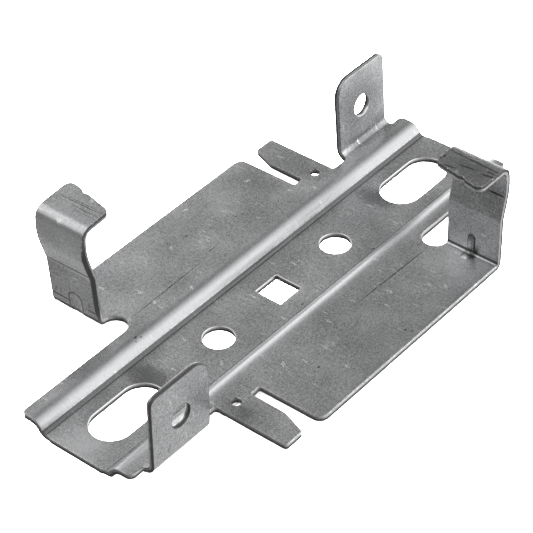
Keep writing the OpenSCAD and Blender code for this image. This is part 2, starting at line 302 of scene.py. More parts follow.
one_side, other_side = (side_corners(leg, rise) for leg, (_, rise) in zip(legs, HOOKS))
outline = rounded(one_side + turned(other_side))
signs = ((1, 1), (-1, 1), (-1, -1), (1, -1))
round_hole = arc_corners(ROUND_X, 0, ROUND_R, 0, 355, 72)
slot = [
    *arc_corners(SLOT_X + SLOT_REACH, 0, SLOT_R, -90, 90),
    *arc_corners(SLOT_X - SLOT_REACH, 0, SLOT_R, 90, 270),
]
pilot = arc_corners(PILOT_X, PILOT_Y + UNROLL, PILOT_R, 0, 350, 36)
bore = arc_corners(LUG_X, LUG_TOP - BORE_DOWN / math.cos(LUG_LEAN), BORE_R, 0, 354, 60)
holes = [rounded([(s * SQUARE, t * SQUARE, SQUARE_R) for s, t in signs])]
for hole in (round_hole, slot, pilot, bore):
    holes += [rounded(hole), rounded(turned(hole))]
print("Outline of", len(outline), "points and", len(holes), "holes")
print("The blank measures", np.ptp(outline, axis=0).round(1), "mm")

# %% [markdown]
# ## Folding
# One function carries a flat point to its place. It decides by its place on the
# blank which section line it follows, and takes its depth in the sheet along.
# Near the bend of a leg there is more: a punch pressed a shallow pocket into the
# outside, and so a bead into the inside, that stiffens the bend. The bead's back
# has a section line of its own, which stands a little off wing and leg. It is
# mixed in across the bead's width. The leg at -X also has a slanting fracture
# on its side to -Y, which makes its cut look broader than the sheet is thick.

# %% The fold function
RIB_Y, RIB_L, RIB_H, RIB_RISE, RIB_RAMP, RIB_KNEE = 31.2, 2.9, 5.4, 0.65, 0.9, 1.2
BEAD_TOP, BEAD_SLOPE = 0.55, 0.65
POCKET, POCKET_R, POCKET_SIDE, POCKET_UP, POCKET_FOOT = 0.15, 1.3, 0.6, 3.1, 1.2
FRACTURE, FRACTURE_W, FRACTURE_END = 0.75, 5, 64

bead = section_line(
    [
        (LEG_IN - RIB_L, DECK),
        (LEG_IN - RIB_L + RIB_RAMP, DECK + RIB_RISE),
        (LEG_IN - RIB_RISE, DECK + RIB_RISE),
        (LEG_IN - RIB_RISE + (RIB_H - RIB_KNEE) * math.tan(LEG_LEAN), DECK + RIB_H - RIB_KNEE),
        (LEG_IN + RIB_H * math.tan(LEG_LEAN), DECK + RIB_H),
    ],
    [0.5, 0.8, 0.8],
)
bead_start = LEG_IN - RIB_L - LEG_START
bead_stop = float(np.interp(DECK + RIB_H, legs[0][:, 2], legs[0][:, 0]))


def smooth(x):
    """0 below 0, 1 above 1, and 3 x^2 - 2 x^3 between."""
    x = np.clip(x, 0, 1)
    return x * x * (3 - 2 * x)


def fold_leg(line, x, y, depth):
    """Leg: out and up along its line. The upper face moves to the bead's line by
    a share that is 1 in the bead's middle and 0 beside it, and the lower face
    moves in where it lies inside the round-topped arch of the pocket."""
    run = x - LEG_START
    across, up = look_up(line, run, depth)
    along = (run - bead_start) / (bead_stop - bead_start) * bead[-1, 0]
    out, top = look_up(bead, along, 0)
    dy = y - RIB_Y
    on_bead = (along > 0) & (along < bead[-1, 0])
    share = (1 - smooth((np.abs(dy) - BEAD_TOP) / BEAD_SLOPE)) * (1 - depth / SHEET) * on_bead
    height = look_up(line, run, 0)[1] - DECK
    arch = np.hypot(dy, np.clip(height - POCKET_UP, 0, None))
    pocket = POCKET * (1 - smooth((arch - POCKET_R) / POCKET_SIDE)) * depth / SHEET
    pocket = pocket * smooth((height + POCKET_FOOT) / 0.8)
    return across + share * (out - across) - pocket, up + share * (top - up)


def fold(flat, depth, which):
    """Places in mm of flat points of one side at the given depths: the strip and
    wings by the channel's line, lugs by theirs and legs by theirs."""
    x, v = flat[:, 0], flat[:, 1]
    across, up = look_up(channel, v, depth)
    place = np.column_stack([x, across, up])
    lug = (v > STRIP_EDGE + 0.05) & (np.abs(x - LUG_X) < LUG_W / 2 + 0.25)
    place[lug, 1:] = np.column_stack(look_up(lug_line, v[lug] - STRIP_EDGE, depth[lug]))
    leg = (x < -LEG_START) & (v > LEG_FOOT)
    y = v[leg] - UNROLL
    out, z = fold_leg(legs[which], -x[leg], y, depth[leg])
    if which == 0:
        torn = np.clip((depth[leg] - TORN) / (SHEET - TORN), 0, 1)
        torn = torn * smooth((LEG_Y + FRACTURE_W - y) / FRACTURE_W)
        along_leg = smooth((-x[leg] - LEG_IN - 1) / 2) * smooth((FRACTURE_END + x[leg]) / 6)
        y = y + FRACTURE * torn * along_leg
    place[leg] = np.column_stack([-out, y, z])
    return place


def folded(flat, depth):
    """Places of points of the whole blank: the far side as it is, and the near
    side turned by half a turn before and after."""
    near = flat[:, 1:] < 0
    return np.where(near, fold(-flat, depth, 1) * (-1, -1, 1), fold(flat, depth, 0))


corner = folded(np.array([[-LEG_IN, WING_Y + UNROLL]]), np.zeros(1))
print("The bead runs", bead[-1, 0].round(2), "mm; the wing's corner folds to", corner.round(2))

# %% [markdown]
# ## Points for the mesh
# The mesh needs close rows of points where the sheet bends and few where it is
# flat. An outline gets a point wherever it crosses such a row, so that its edge
# bends in step with the faces beside it.

# %% Rows and outlines
def spaced(a, b, step):
    """Even values from a to b, about a step apart."""
    return np.linspace(a, b, max(int(round((b - a) / step)), 1) + 1)


LUG_FROM = 48
channel_rows = bend_stations(channel)
lug_rows = bend_stations(lug_line) + STRIP_EDGE
leg_rows = [bend_stations(line) + LEG_START for line in legs]


def with_stations(loop, step=1.2):
    """The outline with points at most a step apart, and one at each crossing
    with a row of the folds."""
    closed = np.vstack([loop, loop[:1]])
    run = np.concatenate([[0], np.cumsum(np.linalg.norm(np.diff(closed, axis=0), axis=1))])
    fine = np.union1d(np.arange(0, run[-1], 0.05), run)
    x, v = (np.interp(fine, run, closed[:, k]) for k in (0, 1))
    stops = [run[:-1]]
    for value, rows, where in (
        (np.abs(v), channel_rows, np.abs(v) < CREST_END),
        (np.abs(v), lug_rows, np.abs(x) > LUG_FROM),
        (np.abs(x), leg_rows[0], (np.abs(v) > LEG_FOOT) & (x * v < 0)),
    ):
        for row in rows:
            hit = np.flatnonzero((np.diff(np.sign(value - row)) != 0) & where[:-1])
            stops.append(fine[hit])
    stops = np.unique(np.concatenate(stops))
    stops = stops[np.concatenate([[True], np.diff(stops) > 0.06])]
    gaps = np.diff(np.append(stops, run[-1]))
    parts = np.maximum(np.ceil(gaps / step).astype(int), 1)
    starts = np.repeat(stops, parts)
    share = np.concatenate([np.arange(n) / n for n in parts]) * np.repeat(gaps, parts)
    return np.column_stack([np.interp(starts + share, run, closed[:, k]) for k in (0, 1)])


def into_metal(loop, outer):
    """At each point of an outline the way into the metal: the mean of its two
    edges' normals, divided by the cosine of half the turn between them."""
    edge = np.roll(loop, -1, 0) - loop
    edge /= np.linalg.norm(edge, axis=1)[:, None]
    normal = np.column_stack([-edge[:, 1], edge[:, 0]])
    mean = normal + np.roll(normal, 1, 0)
    mean /= (mean * normal).sum(1)[:, None]
    area = (loop[:, 0] * np.roll(loop[:, 1], -1) - loop[:, 1] * np.roll(loop[:, 0], -1)).sum()
    return np.sign(area) * (1 if outer else -1) * mean


loops = [with_stations(loop) for loop in (outline, *holes)]
inward = [into_metal(loop, i == 0) for i, loop in enumerate(loops)]
print("Outlines with stations:", [len(loop) for loop in loops])

# %% [markdown]
# ## The cut edge
# Seen in section, a punched edge has four bands. From the face that the punch
# struck these are: the rollover, a smooth round shoulder; the land, which the
# punch has burnished; the fracture, where the metal tore, dull and slightly set
# back; and the burr at the far face. The rings below carry this section round
# every outline. Each ring has a distance into the metal and a depth. On the
# outside of the blank the rollover is broad on the sides that look to -Y, where
# the punch had play, and tighter on the others and on the lugs. On the legs and
# around the openings it is tight. The outline of an opening runs through its
# rollover, so the land below it stands a little further into the opening.

# %% Rings of the cut edge
EDGE = np.array([
    (0.48, 0.0), (0.42, 0.005), (0.32, 0.03), (0.21, 0.075), (0.12, 0.15), (0.04, 0.26), (0.0, 0.40),
    (0.0, TORN), (0.03, 0.80), (0.05, 1.1), (0.04, 1.4),
    (0.0, 1.46), (0.04, 1.497), (0.14, SHEET), (0.34, SHEET),
])
ROLLOVER_RINGS, LAND_DEPTH, BURR_DEPTH = 7, 0.4, 1.499
LEG_ROLLOVER, HOLE_ROLLOVER, LEAST_ROLLOVER = 0.3, 0.35, 0.4
WIDE_PLAY, LUG_PLAY, HOOK_PLAY, HOOK_FROM = 0.85, 0.5, 1.0, 60
INSET, SQUARE_INSET, PILOT_INSET = 0.42, 0.25, 0.15
LEG_FROM, WING_FROM, PILOT_SPAN = 37, 20, 4


def on_leg_flat(x, v):
    """True where a flat place is on a leg: they stand at corners with x v < 0."""
    return (x * v < 0) & (np.abs(x) > LEG_FROM) & (np.abs(v) > LEG_FOOT)


def on_lug_flat(x, v):
    """True where a flat place is on a lug: they stand at corners with x v > 0."""
    return (x * v > 0) & (np.abs(x) > LUG_FROM) & (np.abs(v) > WING_FROM)


def punch_play(loop, way):
    """0 to 1 at each point of an outline: how much play the punch had there."""
    x, v = loop[:, :1], loop[:, 1:]
    much = WIDE_PLAY * smooth(way[:, 1:]) * (np.ptp(x) > PILOT_SPAN)
    much = np.where(on_lug_flat(x, v), LUG_PLAY, much)
    return np.where(on_leg_flat(x, v), np.where(np.abs(x) > HOOK_FROM, HOOK_PLAY, WIDE_PLAY), much)


def hole_inset(hole):
    """How far the land of an opening stands inside its outline."""
    if np.ptp(hole[:, 0]) < PILOT_SPAN:
        return PILOT_INSET
    return SQUARE_INSET if abs(hole[:, 0].mean()) < 1 else INSET


def rollover_share(loop, much, proud):
    """The part of the drawn rollover that each point of an outline has."""
    share = HOLE_ROLLOVER if proud else LEAST_ROLLOVER + (1 - LEAST_ROLLOVER) * much
    return np.where(on_leg_flat(loop[:, :1], loop[:, 1:]), LEG_ROLLOVER, share)


# The play also picks the lit or the shaded colours of the cut.
play = [punch_play(loop, way) for loop, way in zip(loops, inward)]
inset = [0.0] + [hole_inset(hole) for hole in loops[1:]]
shares = [rollover_share(*row) for row in zip(loops, play, inset)]


def ring(k):
    """Flat places of ring k on every outline, and their depths."""
    into, down = EDGE[k]
    places, depths = [], []
    for loop, way, share, proud in zip(loops, inward, shares, inset):
        share = share if k < ROLLOVER_RINGS else np.ones_like(share)
        places.append(loop + way * (into * share - proud))
        depths.append(down * share[:, 0])
    return np.vstack(places), np.concatenate(depths)


rims = np.split(ring(0)[0], np.cumsum([len(loop) for loop in loops])[:-1])
print("Edge rings:", len(EDGE), "of", sum(map(len, loops)), "points")

# %% [markdown]
# ## Points on the faces
# Between the outlines the faces need points too: in close rows along the bends,
# where they follow the rows above, in a fine grid on each bead, and further
# apart on the flats. Points outside the metal or too near to a rim are dropped.

# %% Grids
BLOCK = 400


def blocks(points):
    """Numbers of the points in blocks, to keep the tables below small."""
    return np.array_split(np.arange(len(points)), max(len(points) // BLOCK, 1))


def inside(points, polygons):
    """Even-odd test of points against closed outlines, all edges at once."""
    count = np.zeros(len(points), int)
    for loop in polygons:
        a, b = loop, np.roll(loop, -1, 0)
        rise = np.where(b[:, 1] == a[:, 1], 1, b[:, 1] - a[:, 1])
        for block in blocks(points):
            x, y = points[block, 0][:, None], points[block, 1][:, None]
            spans = (a[:, 1] > y) != (b[:, 1] > y)
            at = a[:, 0] + (y - a[:, 1]) * (b[:, 0] - a[:, 0]) / rise
            count[block] += (spans & (x < at)).sum(1)
    return count % 2 == 1


def clear_of(points, rims, gap):
    """True for points further than gap from every point of the rims."""
    keep = np.ones(len(points), bool)
    for block in blocks(points):
        d = points[block][:, None] - rims[None]
        keep[block] = (d * d).sum(2).min(1) > gap * gap
    return keep


def grid(xs, vs):
    """All points (x, v) of the columns xs and the rows vs."""
    return np.stack(np.meshgrid(xs, vs), -1).reshape(-1, 2)


def leg_grids(rows):
    """Points on a leg: rows of its bends, rows on its flats, and a fine bead."""
    flats = [spaced(rows[-1] + 0.9, rows[-1] + 9, 1.5), spaced(rows[0] + 4, rows[-1] - 4, 1.5)]
    across = spaced(22 + UNROLL, 39.3 + UNROLL, 1.1)
    bead_xs = spaced(LEG_IN - 4.1, LEG_IN + 7.6, 0.22)
    bead_vs = spaced(RIB_Y - 2.2, RIB_Y + 2.2, 0.16) + UNROLL
    return np.vstack([grid(-np.union1d(rows, np.concatenate(flats)), across), grid(-bead_xs, bead_vs)])


web_vs, crest_vs = spaced(0.75, WEB_Y - 0.75, 1.5), spaced(channel_rows[-1] + 0.7, CREST_END, 1.2)
strip_vs = np.union1d(channel_rows, np.concatenate([web_vs, crest_vs]))
lug_vs = np.union1d(lug_rows, spaced(lug_rows[-1] + 0.8, lug_rows[-1] + 20, 1.5))
side_grids = np.vstack([
    grid(spaced(-72, 72, 1.5), strip_vs),
    grid(spaced(-35.5, 43, 1.5), spaced(19 + UNROLL, 39 + UNROLL, 1.5)),
    grid(spaced(LUG_X - 9, LUG_X + 9, 1.2), lug_vs),
])
far_side, near_side = (np.vstack([side_grids, leg_grids(rows)]) for rows in leg_rows)
candidates = np.unique(np.vstack([far_side, -near_side]).round(4), axis=0)
candidates = candidates[inside(candidates, rims)]
candidates = candidates[clear_of(candidates, np.vstack(rims), 0.3)]
print(len(candidates), "points between the outlines")

# %% [markdown]
# ## Triangles between the outlines
# The faces of the sheet are flat regions with holes, which is a task for a
# Delaunay triangulation: it joins each point with its nearest neighbours, and
# keeps to the outlines. It is done once, on the flat blank. The upper and the
# lower face then use the same triangles at another depth.

# %% Triangulation
rim_points = np.vstack(rims)
starts = np.cumsum([0] + [len(rim) for rim in rims])
next_one = np.concatenate([a + np.roll(np.arange(len(rim)), -1) for a, rim in zip(starts, rims)])
rim_edges = list(enumerate(next_one.tolist()))
flat_points = np.vstack([rim_points, candidates])
corners = [Vector(p) for p in flat_points.tolist()]
_, _, joined, origins, *_ = delaunay_2d_cdt(corners, rim_edges, [], 1, 1e-6)
source = np.array([origin[0] if origin else -1 for origin in origins])
triangles = source[np.array(joined)]
triangles = triangles[inside(flat_points[triangles].mean(1), rims)]
assert (triangles >= 0).all(), "the triangulation made new points"
print(len(flat_points), "points on the blank,", len(triangles), "triangles on each face")

# %% [markdown]
# ## The piece
# The upper face, the rings of the cut edge and the lower face make one closed
# skin. The flat places stay with it as a UV map, so that a pattern on it runs
# along the sheet and around its folds, as rolling marks and scratches do. Three
# attributes are kept for the finish of the cut: the depth of each ring, the play
# of the punch, which also sets how light or shaded the cut is painted, and
# whether the edge belongs to an opening whose rim gets a painted highlight, as
# all do but the small pilot holes. The volume is printed because it shows at
# once whether faces point outward and whether a fold went astray: it has to be
# close to the CAD model's.

# %% Skin
rings = [ring(k) for k in range(len(EDGE))]
rim_n, all_n = len(rim_points), len(flat_points)
flat = np.vstack([flat_points, *(places for places, _ in rings[1:]), candidates])
depth = np.concatenate([np.zeros(all_n), *(depths for _, depths in rings[1:-1]), np.full(all_n, SHEET)])
ring_start = np.concatenate([[0], all_n + rim_n * np.arange(len(EDGE) - 1)])
is_hole = np.repeat([False] + [True] * len(holes), [len(rim) for rim in rims])
first = np.where(is_hole, next_one, np.arange(rim_n))
second = np.where(is_hole, np.arange(rim_n), next_one)
quads = np.vstack([
    np.column_stack([a + first, b + first, b + second, a + second])
    for a, b in zip(ring_start[:-1], ring_start[1:])
])
under = ring_start[-1] + triangles[:, ::-1]
points = folded(flat, depth) * MM

skin = np.concatenate([triangles, under, quads[:, :3], quads[:, [0, 2, 3]]])
a, b, c = (points[skin[:, k]] / MM / 10 for k in range(3))
print(len(skin), "triangles,", round((np.cross(a, b) * c).sum() / 6, 3), "cubic cm")
print("Box from", (points.min(0) / MM).round(2), "to", (points.max(0) / MM).round(2), "mm")

# %% Mesh
UV_SPAN, UV_CORNER, UNDER = 200, (80, 44), 90


def on_skin(rim_values):
    """Values for all points of the skin from those of one ring. The points on
    the faces between the rims get 0."""
    spare = np.zeros(all_n - rim_n)
    return np.concatenate([rim_values, spare, np.tile(rim_values, len(EDGE) - 1), spare])


faces = triangles.tolist() + under.tolist() + quads.tolist()
mesh = bpy.data.meshes.new("pressed_sheet")
mesh.from_pydata(points.tolist(), [], faces)
mesh.polygons.foreach_set("use_smooth", np.ones(len(faces), bool))
corner_of = np.empty(len(mesh.loops), np.int32)
mesh.loops.foreach_get("vertex_index", corner_of)
uv = (flat[corner_of] + UV_CORNER) / UV_SPAN
uv[triangles.size:2 * triangles.size, 1] += UNDER / UV_SPAN
mesh.uv_layers.new(name="blank").data.foreach_set("uv", uv.ravel())
is_opening = np.repeat([float(proud > PILOT_INSET) for proud in inset], [len(rim) for rim in rims])
for name, values in (
    ("depth", depth), ("play", on_skin(np.vstack(play)[:, 0])), ("opening", on_skin(is_opening)),
):
    mesh.attributes.new(name, "FLOAT", "POINT").data.foreach_set("value", values)
mesh.validate()
bracket = bpy.data.objects.new("pressed_sheet", mesh)
bpy.context.scene.collection.objects.link(bracket)
print("The mesh has", len(mesh.vertices), "points and", len(mesh.polygons), "faces")

# %% [markdown]
# ## Colours and nodes
# Colours are written as sRGB hex values, as a picture editor shows them, but
# shaders count in linear light. One function turns the one into the other, and
# one adds a node with its settings and links, so that a material reads as a
# list of steps.

# %% Helpers for materials
def linear(hex_colour):
    """sRGB hex to linear: c / 12.92 below 0.04045, else ((c + 0.055) / 1.055) ^ 2.4."""
    c = np.array([int(hex_colour[i:i + 2], 16) for i in (1, 3, 5)]) / 255
    return (*np.where(c < 0.04045, c / 12.92, ((c + 0.055) / 1.055) ** 2.4), 1.0)


def node(tree, kind, inputs=(), out=0, **settings):
    """Adds a node of a kind, such as Math for ShaderNodeMath, and returns one of
    its outputs. inputs maps sockets, by name or number, to a value or to the
    output that is linked there."""
    made = tree.nodes.new("ShaderNode" + kind)
    for name, value in settings.items():
        setattr(made, name, value)
    for socket, value in dict(inputs).items():
        if isinstance(value, bpy.types.NodeSocket):
            tree.links.new(value, made.inputs[socket])
        else:
            made.inputs[socket].default_value = value
    return made if out is None else made.outputs[out]


def new_material(name):
    """An empty material and its node tree."""
    material = bpy.data.materials.new(name)
    material.use_nodes = True
    material.node_tree.nodes.clear()
    return material, material.node_tree


def finish_material(tree, colour, roughness, normal, metallic):
    """Shader and output. A metal keeps the default index of refraction."""
    shader = node(tree, "BsdfPrincipled", {
        "Base Color": colour, "Roughness": roughness, "Normal": normal, "Metallic": metallic,
    })
    node(tree, "OutputMaterial", {"Surface": shader}, out=None)


# %% [markdown]
# ## Marks on the blank
# Wear is not only a texture. A scratch, a die line or a stain has its place, and
# on the photograph each can be pointed at. Since the UV map is the flat blank in
# millimetres, such a mark is just two ends and a width. A spherical gradient,
# turned and stretched to a thin ellipse, draws it: white along its middle, and
# tapered to both ends as a real scratch is.

# %% Places on the blank
def blank_mm(tree, location=(0, 0, 0), turn=0, scale=(1, 1, 1)):
    """Flat place on the sheet in mm, moved, turned and scaled to suit a pattern."""
    flat_place = node(tree, "UVMap", uv_map="blank")
    mm = node(tree, "Mapping", {
        "Vector": flat_place, "Scale": (UV_SPAN,) * 3, "Location": (-UV_CORNER[0], -UV_CORNER[1], 0),
    })
    return node(tree, "Mapping", {
        "Vector": mm, "Location": location, "Rotation": (0, 0, turn), "Scale": scale,
    }, vector_type="POINT")


def streak(tree, place, x1, v1, x2, v2, width):
    """1 less the distance from the middle of a thin ellipse, measured so that
    its rim is at 1: it reaches from one flat place to the other."""
    local = node(tree, "Mapping", {
        "Vector": place, "Location": ((x1 + x2) / 2, (v1 + v2) / 2, 0),
        "Rotation": (0, 0, math.atan2(v2 - v1, x2 - x1)),
        "Scale": (math.hypot(x2 - x1, v2 - v1) / 2, width / 2, 1),
    }, vector_type="TEXTURE")
    return node(tree, "TexGradient", {"Vector": local}, out=1, gradient_type="SPHERICAL")


def streaks(tree, place, rows, full=0.35):
    """The largest of several streaks, with 1 from the level full upward."""
    total = 0.0
    for row in rows:
        drawn = streak(tree, place, *row)
        total = node(tree, "Math", {0: drawn, 1: total}, operation="MAXIMUM")
    return node(tree, "MapRange", {"Value": total, "From Max": full})


# %% [markdown]
# The marks of this bracket follow, as read from the photograph. Those on the
# lower face of the sheet are moved by the shift that its UV map has. The last
# table holds broad, soft patches of painted light and shade. Each ends with an
# amount that darkens the tone below zero and lightens it above. There is painted
# shade on the fingers, the far wing, the far lug's root and face, the web beside
# the slots, the near bead's top and foot, and part of the far crest's highlight.
# There is a painted sheen on the near wing and on the strip's end at -X, and the
# near hook has a darker top.

# %% Marks
def on_lower_face(rows):
    """The rows with both of their ends moved to the UV map's lower face."""
    return [(x1, v1 + UNDER, x2, v2 + UNDER, *rest) for x1, v1, x2, v2, *rest in rows]


SCRATCHES = [
    (-34.5, 20.2, -4.6, 20.7, 0.34), (-2.9, 21.9, 1.1, 21.8, 0.3), (34.0, -22.75, 2.6, -21.75, 0.42),
    (-19.0, -28.8, -17.8, -28.8, 0.6), (25.8, -8.8, 27.2, -9.1, 0.5), (-1.3, -8.2, -0.1, -8.3, 0.45),
    (-37.6, 14.6, -36.4, 14.8, 0.6), (-36.3, 13.9, -35.5, 13.9, 0.45), (-38.1, 13.5, -37.7, 14.0, 0.5),
    (3.9, -36.9, 4.9, -37.1, 0.5), (4.6, -38.4, 5.6, -38.5, 0.5), (-1.2, 30.6, -0.2, 30.2, 0.4),
    (57.0, -34.4, 57.1, -41.0, 0.7), (12.6, 26.0, 13.2, 25.4, 0.4), (-47.0, -3.0, -46.4, -3.2, 0.35),
]
# The first row is painted shade along the crease of the leg at -X; the rest are lines that the die drew.
DIE_LINES_AND_CREASE_SHADE = on_lower_face([
    (-51.3, 45.0, -52.3, 20.0, 0.95),
    (-39.7, 43.0, -39.7, 33.5, 0.6), (-39.7, 29.5, -39.7, 23.0, 0.5),
    (-70.6, 41.0, -71.2, 23.5, 0.28), (-71.2, 38.0, -71.6, 27.0, 0.2),
    (-69.6, 35.5, -69.9, 24.0, 0.2), (-68.6, 33.0, -68.9, 22.5, 0.16),
    (66.3, -23.5, 67.2, -44.0, 0.6), (70.0, -30.0, 69.2, -36.0, 0.6),
    (69.9, -36.6, 69.0, -41.5, 0.7), (68.2, -37.0, 68.0, -41.5, 0.6),
    (72.2, -27.0, 71.6, -31.5, 0.7), (71.0, -25.5, 68.6, -26.2, 1.0),
])
# The last row, on the upper face at the near bead's foot, is painted shade; the others are stains.
STAINS_AND_SHADE = on_lower_face([
    (-56.0, -26.5, -59.5, -24.6, 0.5), (-59.0, -24.9, -60.5, -21.0, 0.45),
    (-62.2, -24.6, -63.6, -21.5, 0.5), (-65.0, -25.4, -67.2, -22.8, 0.6),
    (-52.3, -33.0, -53.4, -31.5, 0.6), (-67.0, -30.0, -66.2, -34.0, 0.5),
    (-40.0, 39.2, -42.4, 38.4, 0.9), (-40.4, 37.2, -42.6, 36.8, 0.7),
    (-40.2, 27.6, -42.6, 27.0, 1.0), (-39.0, 25.6, -40.4, 25.2, 0.7),
    (-46.2, 39.8, -46.8, 36.0, 0.45), (56.6, 26.0, 58.6, 25.0, 0.6),
]) + [(36.2, -33.9, 36.2, -30.7, 2.2)]
RUBS = [
    (25.0, 33.4, 26.8, 32.4, 1.1), (6.2, 38.3, 7.9, 37.0, 1.1), (-23.6, 26.0, -24.5, 24.3, 1.3),
    (-24.0, 20.4, -25.3, 19.0, 1.2), (-14.4, 17.0, -15.9, 15.2, 1.2), (-32.5, 21.0, -33.8, 19.4, 1.1),
    (29.0, 22.2, 29.9, 21.0, 0.8), (-6.0, 31.0, -7.2, 29.4, 0.9), (14.0, -24.6, 13.0, -26.4, 0.9),
    (-22.0, -20.6, -23.6, -22.6, 1.1), (24.0, -34.0, 22.4, -36.0, 1.0), (-28.0, -5.6, -30.0, -7.4, 1.0),
]
PATCHES = [
    (-16.0, -23.5, -6.5, -26.8, 5.0), (15.0, -31.5, 26.0, -29.5, 5.5), (-42.0, 3.0, -33.0, 6.5, 5.0),
    (-3.0, 24.0, 8.0, 30.0, 5.0), (38.0, 4.0, 30.0, 8.0, 4.0), (2.0, -7.0, 12.0, -8.0, 3.5),
]
BEND_RUB, = on_lower_face([(-64.5, 54.0, -65.0, 12.0, 9.0)])
# Painted light and shade as soft patches of tone: below zero they darken, above zero they lighten.
PAINTED_LIGHT_AND_SHADE = [
    (-43.8, 11.0, -43.0, -3.0, 9.0, -1.0), (43.2, 10.0, 44.5, -4.0, 9.0, -0.7),
    (-41.0, -15.0, -42.0, -36.0, 16.0, -0.34), (41.0, 17.0, 42.0, 40.0, 16.0, -0.2),
    (14.0, 30.0, 40.0, 27.0, 24.0, -0.32), (22.0, -34.0, 42.0, -26.0, 20.0, 0.4),
    (-70.0, 9.0, -70.0, -9.0, 18.0, 0.6), (58.0, 17.0, 58.0, 44.0, 24.0, -0.4),
    (68.5, UNDER - 18.0, 69.0, UNDER - 48.0, 20.0, -0.65),
    (42.0, -33.7, 42.0, -30.9, 3.0, -0.8), (34.0, -32.3, 39.0, -32.3, 4.4, -1.5),
    (50.0, 19.8, 68.0, 19.8, 5.0, -0.7), (8.0, 12.2, 50.0, 12.2, 3.6, -1.3),
]
tables = (SCRATCHES, DIE_LINES_AND_CREASE_SHADE, STAINS_AND_SHADE, RUBS, PATCHES, PAINTED_LIGHT_AND_SHADE)
print(sum(map(len, tables)), "marks have a place of their own")

# %% [markdown]
# ## Zinc plated steel, as it leaves the press
# The sheet is steel with a thin coat of zinc. It is metal through and through
# for the eye: the grey is only the tint of what it mirrors, and its dull look
# comes from a surface too rough to show an image. The colour varies in soft
# clouds, where oil and handling dulled the zinc, and in a fine mottle, which is
# the grain of the coat. That grain of 0.1 to 0.2 mm is too fine to show from
# here, so it is drawn at 0.35 mm and coarser. On the two crests and in the upper
# bend of the leg at -X the tone is made even, as a die's rubbing left it, and set
# to a fixed level. On the crests this level is a painted highlight, lighter on
# the near crest.

# %% Coat of zinc
ZINC_DARK, ZINC_LIGHT = linear("#828384"), linear("#d6d7d8")
# Size in mm, detail and roughness of the noise for cloud, mottle, grain, patch and bow.
NOISES = ((14, 3.0, 0.6), (0.9, 4.0, 0.7), (0.35, 2.0, 0.6), (9, 1.0, 0.5), (26, 1.0, 0.5))
# Share of the even tone, and its level on the near and on the far side; on the crests this is a painted
# highlight.
EVEN_AND_SHEEN, SHEEN_NEAR, SHEEN_FAR = 0.72, 0.9, 0.62

plated, tree = new_material("zinc_plated_pressed_steel")
mm = blank_mm(tree)
cloud, mottle, grain, patch, bow = (
    node(tree, "TexNoise", {"Vector": mm, "Scale": 1 / size, "Detail": detail, "Roughness": rough})
    for size, detail, rough in NOISES
)
strokes = node(tree, "TexNoise", {
    "Vector": blank_mm(tree, scale=(2.4, 0.3, 1)), "Scale": 1.0, "Detail": 3.0, "Roughness": 0.6,
})
tone = mottle
for pattern, amount in ((cloud, 0.7), (strokes, 0.3), (grain, 1.6)):
    tone = node(tree, "Math", {0: pattern, 1: amount, 2: tone}, operation="MULTIPLY_ADD")
tone = node(tree, "MapRange", {"Value": tone, "From Min": 1.40, "From Max": 2.20})
# Each patch of painted light or shade shifts the tone by its amount.
for *row, amount in PAINTED_LIGHT_AND_SHADE:
    shade = streak(tree, mm, *row)
    tone = node(tree, "Math", {0: shade, 1: amount, 2: tone}, operation="MULTIPLY_ADD")

x, v = (node(tree, "SeparateXYZ", {"Vector": mm}, out=k) for k in (0, 1))
side, across = (node(tree, "Math", {0: place}, operation="ABSOLUTE") for place in (v, x))
wall = node(tree, "MapRange", {"Value": side, "From Min": 10.9, "From Max": 11.5})
crest = node(tree, "MapRange", {"Value": side, "From Min": 17.5, "From Max": 13.5})
crest = node(tree, "Math", {0: wall, 1: crest}, operation="MULTIPLY")
even_and_sheen = node(tree, "Math", {0: streak(tree, mm, *BEND_RUB), 1: crest}, operation="MAXIMUM")
even_and_sheen = node(tree, "Math", {0: even_and_sheen, 1: EVEN_AND_SHEEN}, operation="MULTIPLY")
# Level of the even tone: a painted highlight on the crests, lighter on the near one.
level = node(tree, "MapRange", {
    "Value": v, "From Min": -1.0, "From Max": 1.0, "To Min": SHEEN_NEAR, "To Max": SHEEN_FAR,
})
tone = node(tree, "Mix", {0: even_and_sheen, 2: tone, 3: level}, data_type="FLOAT")
print("The coat's tone takes", len(tree.nodes), "nodes")

# %% [markdown]
# Sliding over other parts left short light scuffs that run across the strip,
# rubs of a more definite place, and patches of fine parallel scratches, fewer of
# them on the crests. A scuff breaks up with the grain of the coat. A painted
# highlight lines the rims of the openings where the rollover begins.

# %% Scuffs and painted rim highlights
# White for the scuffs and for the painted rim highlight.
SCUFF_AND_RIM_HIGHLIGHT = linear("#ffffff")
cells = node(tree, "TexVoronoi", {
    "Vector": blank_mm(tree, turn=0.15, scale=(0.30, 0.11, 1)), "Scale": 1.0,
})
scuffs = node(tree, "MapRange", {"Value": cells, "From Min": 0.15, "From Max": 0.05})
scuffs = node(tree, "Math", {0: scuffs, 1: streaks(tree, mm, RUBS, 0.4)}, operation="MAXIMUM")
torn_by = node(tree, "MapRange", {"Value": grain, "From Min": 0.42, "From Max": 0.6})
scuffs = node(tree, "Math", {0: scuffs, 1: torn_by}, operation="MULTIPLY")

